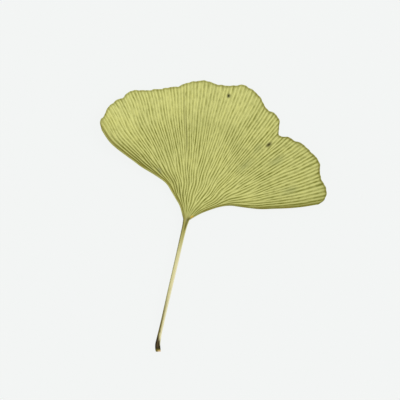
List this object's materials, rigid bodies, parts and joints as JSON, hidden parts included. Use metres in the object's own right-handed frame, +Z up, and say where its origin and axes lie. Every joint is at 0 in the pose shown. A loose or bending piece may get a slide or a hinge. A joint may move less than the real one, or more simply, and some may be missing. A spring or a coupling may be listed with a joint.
{
  "type": "ginkgo leaf",
  "caption": "Fan-shaped ginkgo leaf with a lobed, finely scalloped margin, a shallow notch, raised forking veins and a slender grooved stalk, lying face up",
  "frame": {"origin": "below the middle of the leaf's box, on the surface that the leaf lies on", "axes": "+Y along the stalk's line from its cut base towards the blade, +X to the right seen from above, +Z up out of the upper face"},
  "size_m": [0.0628, 0.0742, 0.0046],
  "materials": {
    "leaf": "satin"
  },
  "bodies": {
    "root": {"leaf": "leaf"}
  },
  "joints": []
}
